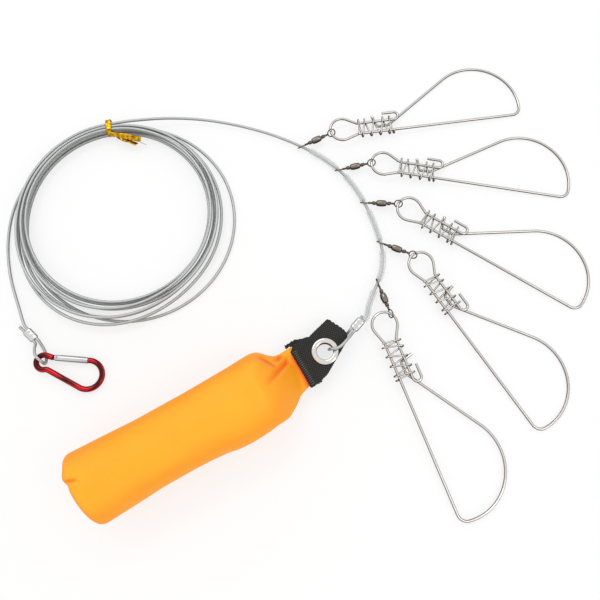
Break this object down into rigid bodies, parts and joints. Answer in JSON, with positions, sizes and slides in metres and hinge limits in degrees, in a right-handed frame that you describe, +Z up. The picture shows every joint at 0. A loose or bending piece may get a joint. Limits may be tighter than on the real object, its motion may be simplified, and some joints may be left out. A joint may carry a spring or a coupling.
{
  "type": "fish stringer",
  "caption": "Fish stringer: coiled coated cable with a carabiner at one end, a soft float at the other and wire snaps on barrel swivels between them.",
  "frame": {"origin": "middle of the laid-out stringer, cable left out, at the table's surface", "axes": "+Z up from the table, +X to the right and +Y away from the viewer as in the picture"},
  "size_m": [0.4323, 0.347, 0.0495],
  "materials": {
    "coated_cable": "clear-coated grey strand",
    "clear_tube": "clear flexible tube",
    "crimp_aluminium": "pressed, satin",
    "gold_tie": "metallic gold film",
    "dark_brass": "dark nickel plate",
    "stainless_wire": "drawn, satin",
    "binding_wire": "drawn, satin",
    "red_aluminium": "red anodised",
    "bright_aluminium": "bright",
    "plain_steel": "bright",
    "orange_cloth": "plain nylon cloth",
    "foam": "closed-cell foam",
    "black_webbing": "ribbed webbing",
    "bright_nickel": "nickel plated"
  },
  "bodies": {
    "cable": {"cable_coil": "coated_cable", "cable_snap_run": "coated_cable", "cable_carabiner_lead": "coated_cable", "float_cable_eye": "coated_cable", "carabiner_cable_eye": "coated_cable", "float_ferrule": "crimp_aluminium", "carabiner_ferrule": "crimp_aluminium", "twist_tie": "gold_tie", "spacer_tube_1": "clear_tube", "spacer_tube_2": "clear_tube", "spacer_tube_3": "clear_tube", "spacer_tube_4": "clear_tube", "spacer_tube_5": "clear_tube"},
    "carabiner": {"carabiner_body": "red_aluminium", "carabiner_pin": "plain_steel"},
    "carabiner_gate": {"carabiner_gate": "bright_aluminium", "carabiner_gate_spring": "plain_steel"},
    "float": {"float_cover": "orange_cloth", "float_foam_core": "foam", "float_strap": "black_webbing", "grommet_eyelet": "bright_nickel", "grommet_washer": "bright_nickel"},
    "swivel_1_cable_end": {"swivel_1_cable_eye": "dark_brass"},
    "swivel_1_barrel": {"swivel_1_barrel": "dark_brass"},
    "swivel_1_snap_end": {"swivel_1_snap_eye": "dark_brass"},
    "snap_1": {"snap_1_frame": "stainless_wire", "snap_1_binding": "binding_wire"},
    "snap_1_gate": {"snap_1_gate": "stainless_wire"},
    "swivel_2_cable_end": {"swivel_2_cable_eye": "dark_brass"},
    "swivel_2_barrel": {"swivel_2_barrel": "dark_brass"},
    "swivel_2_snap_end": {"swivel_2_snap_eye": "dark_brass"},
    "snap_2": {"snap_2_frame": "stainless_wire", "snap_2_binding": "binding_wire"},
    "snap_2_gate": {"snap_2_gate": "stainless_wire"},
    "swivel_3_cable_end": {"swivel_3_cable_eye": "dark_brass"},
    "swivel_3_barrel": {"swivel_3_barrel": "dark_brass"},
    "swivel_3_snap_end": {"swivel_3_snap_eye": "dark_brass"},
    "snap_3": {"snap_3_frame": "stainless_wire", "snap_3_binding": "binding_wire"},
    "snap_3_gate": {"snap_3_gate": "stainless_wire"},
    "swivel_4_cable_end": {"swivel_4_cable_eye": "dark_brass"},
    "swivel_4_barrel": {"swivel_4_barrel": "dark_brass"},
    "swivel_4_snap_end": {"swivel_4_snap_eye": "dark_brass"},
    "snap_4": {"snap_4_frame": "stainless_wire", "snap_4_binding": "binding_wire"},
    "snap_4_gate": {"snap_4_gate": "stainless_wire"},
    "swivel_5_cable_end": {"swivel_5_cable_eye": "dark_brass"},
    "swivel_5_barrel": {"swivel_5_barrel": "dark_brass"},
    "swivel_5_snap_end": {"swivel_5_snap_eye": "dark_brass"},
    "snap_5": {"snap_5_frame": "stainless_wire", "snap_5_binding": "binding_wire"},
    "snap_5_gate": {"snap_5_gate": "stainless_wire"}
  },
  "joints": [
    {"name": "swivel_1_swing", "type": "hinge", "parent": "cable", "child": "swivel_1_cable_end", "pos_m": [-0.0116, 0.10235, 0.0035], "axis": [0.8913, -0.4534, 0], "range_deg": [-50, 50]},
    {"name": "swivel_1_barrel_spin", "type": "hinge", "parent": "swivel_1_cable_end", "child": "swivel_1_barrel", "pos_m": [-0.00007, 0.10748, 0.00489], "axis": [0.9081, 0.4043, 0.1093], "continuous": true},
    {"name": "swivel_1_turn", "type": "hinge", "parent": "swivel_1_cable_end", "child": "swivel_1_snap_end", "pos_m": [-0.00007, 0.10748, 0.00489], "axis": [0.9081, 0.4043, 0.1093], "range_deg": [-60, 60]},
    {"name": "snap_1_swing", "type": "hinge", "parent": "swivel_1_snap_end", "child": "snap_1", "pos_m": [0.01146, 0.11262, 0.00628], "axis": [-0.3566, 0.9342, 0.0076], "range_deg": [-50, 50]},
    {"name": "snap_1_gate_open", "type": "hinge", "parent": "snap_1", "child": "snap_1_gate", "pos_m": [0.15527, 0.13159, 0.001], "axis": [0, 0, -1], "range_deg": [0, 15], "stiffness_Nm_per_rad": 1},
    {"name": "swivel_2_swing", "type": "hinge", "parent": "cable", "child": "swivel_2_cable_end", "pos_m": [0.01695, 0.08255, 0.0035], "axis": [0.7165, -0.6976, 0], "range_deg": [-50, 50]},
    {"name": "swivel_2_barrel_spin", "type": "hinge", "parent": "swivel_2_cable_end", "child": "swivel_2_barrel", "pos_m": [0.02936, 0.08485, 0.00489], "axis": [0.9773, 0.1811, 0.1095], "continuous": true},
    {"name": "swivel_2_turn", "type": "hinge", "parent": "swivel_2_cable_end", "child": "swivel_2_snap_end", "pos_m": [0.02936, 0.08485, 0.00489], "axis": [0.9773, 0.1811, 0.1095], "range_deg": [-60, 60]},
    {"name": "snap_2_swing", "type": "hinge", "parent": "swivel_2_snap_end", "child": "snap_2", "pos_m": [0.04177, 0.08715, 0.00628], "axis": [0.0419, 0.9991, 0.0038], "range_deg": [-50, 50]},
    {"name": "snap_2_gate_open", "type": "hinge", "parent": "snap_2", "child": "snap_2_gate", "pos_m": [0.18472, 0.06155, 0.001], "axis": [0, 0, -1], "range_deg": [0, 15], "stiffness_Nm_per_rad": 1},
    {"name": "swivel_3_swing", "type": "hinge", "parent": "cable", "child": "swivel_3_cable_end", "pos_m": [0.03585, 0.05535, 0.0035], "axis": [0.4235, -0.9059, 0], "range_deg": [-50, 50]},
    {"name": "swivel_3_barrel_spin", "type": "hinge", "parent": "swivel_3_cable_end", "child": "swivel_3_barrel", "pos_m": [0.04843, 0.05436, 0.00489], "axis": [0.9909, -0.078, 0.1095], "continuous": true},
    {"name": "swivel_3_turn", "type": "hinge", "parent": "swivel_3_cable_end", "child": "swivel_3_snap_end", "pos_m": [0.04843, 0.05436, 0.00489], "axis": [0.9909, -0.078, 0.1095], "range_deg": [-60, 60]},
    {"name": "snap_3_swing", "type": "hinge", "parent": "swivel_3_snap_end", "child": "snap_3", "pos_m": [0.06102, 0.05337, 0.00628], "axis": [0.4509, 0.8926, 0.0025], "range_deg": [-50, 50]},
    {"name": "snap_3_gate_open", "type": "hinge", "parent": "snap_3", "child": "snap_3_gate", "pos_m": [0.18329, -0.02506, 0.001], "axis": [0, 0, -1], "range_deg": [0, 15], "stiffness_Nm_per_rad": 1},
    {"name": "swivel_4_swing", "type": "hinge", "parent": "cable", "child": "swivel_4_cable_end", "pos_m": [0.04705, 0.0233, 0.0035], "axis": [0.2237, -0.9746, 0], "range_deg": [-50, 50]},
    {"name": "swivel_4_barrel_spin", "type": "hinge", "parent": "swivel_4_cable_end", "child": "swivel_4_barrel", "pos_m": [0.05858, 0.01817, 0.00489], "axis": [0.9081, -0.4043, 0.1095], "continuous": true},
    {"name": "swivel_4_turn", "type": "hinge", "parent": "swivel_4_cable_end", "child": "swivel_4_snap_end", "pos_m": [0.05858, 0.01817, 0.00489], "axis": [0.9081, -0.4043, 0.1095], "range_deg": [-60, 60]},
    {"name": "snap_4_swing", "type": "hinge", "parent": "swivel_4_snap_end", "child": "snap_4", "pos_m": [0.07011, 0.01303, 0.00628], "axis": [0.7837, 0.6211, 0.0025], "range_deg": [-50, 50]},
    {"name": "snap_4_gate_open", "type": "hinge", "parent": "snap_4", "child": "snap_4_gate", "pos_m": [0.14821, -0.10945, 0.001], "axis": [0, 0, -1], "range_deg": [0, 15], "stiffness_Nm_per_rad": 1},
    {"name": "swivel_5_swing", "type": "hinge", "parent": "cable", "child": "swivel_5_cable_end", "pos_m": [0.04375, -0.0079, 0.00455], "axis": [-0.4128, -0.9087, 0.0624], "range_deg": [-50, 50]},
    {"name": "swivel_5_barrel_spin", "type": "hinge", "parent": "swivel_5_cable_end", "child": "swivel_5_barrel", "pos_m": [0.04786, -0.01984, 0.00588], "axis": [0.3238, -0.9403, 0.1047], "continuous": true},
    {"name": "swivel_5_turn", "type": "hinge", "parent": "swivel_5_cable_end", "child": "swivel_5_snap_end", "pos_m": [0.04786, -0.01984, 0.00588], "axis": [0.3238, -0.9403, 0.1047], "range_deg": [-60, 60]},
    {"name": "snap_5_swing", "type": "hinge", "parent": "swivel_5_snap_end", "child": "snap_5", "pos_m": [0.05197, -0.03178, 0.00721], "axis": [0.8693, -0.4935, -0.0283], "range_deg": [-50, 35]},
    {"name": "snap_5_gate_open", "type": "hinge", "parent": "snap_5", "child": "snap_5_gate", "pos_m": [0.09211, -0.16839, 0.00205], "axis": [0, 0, -1], "range_deg": [0, 15], "stiffness_Nm_per_rad": 1},
    {"name": "carabiner_swing", "type": "hinge", "parent": "cable", "child": "carabiner", "pos_m": [-0.193, -0.0664, 0.00475], "axis": [0.0649, -0.0045, 0.9979], "range_deg": [-75, 25]},
    {"name": "carabiner_gate_open", "type": "hinge", "parent": "carabiner", "child": "carabiner_gate", "pos_m": [-0.18417, -0.06311, 0.00419], "axis": [-0.0649, 0.0045, -0.9979], "range_deg": [0, 28], "stiffness_Nm_per_rad": 0.06},
    {"name": "float_swing", "type": "hinge", "parent": "cable", "child": "float", "pos_m": [0.00463, -0.05967, 0.009], "axis": [0, 0, 1], "range_deg": [-4.5, 40]}
  ]
}
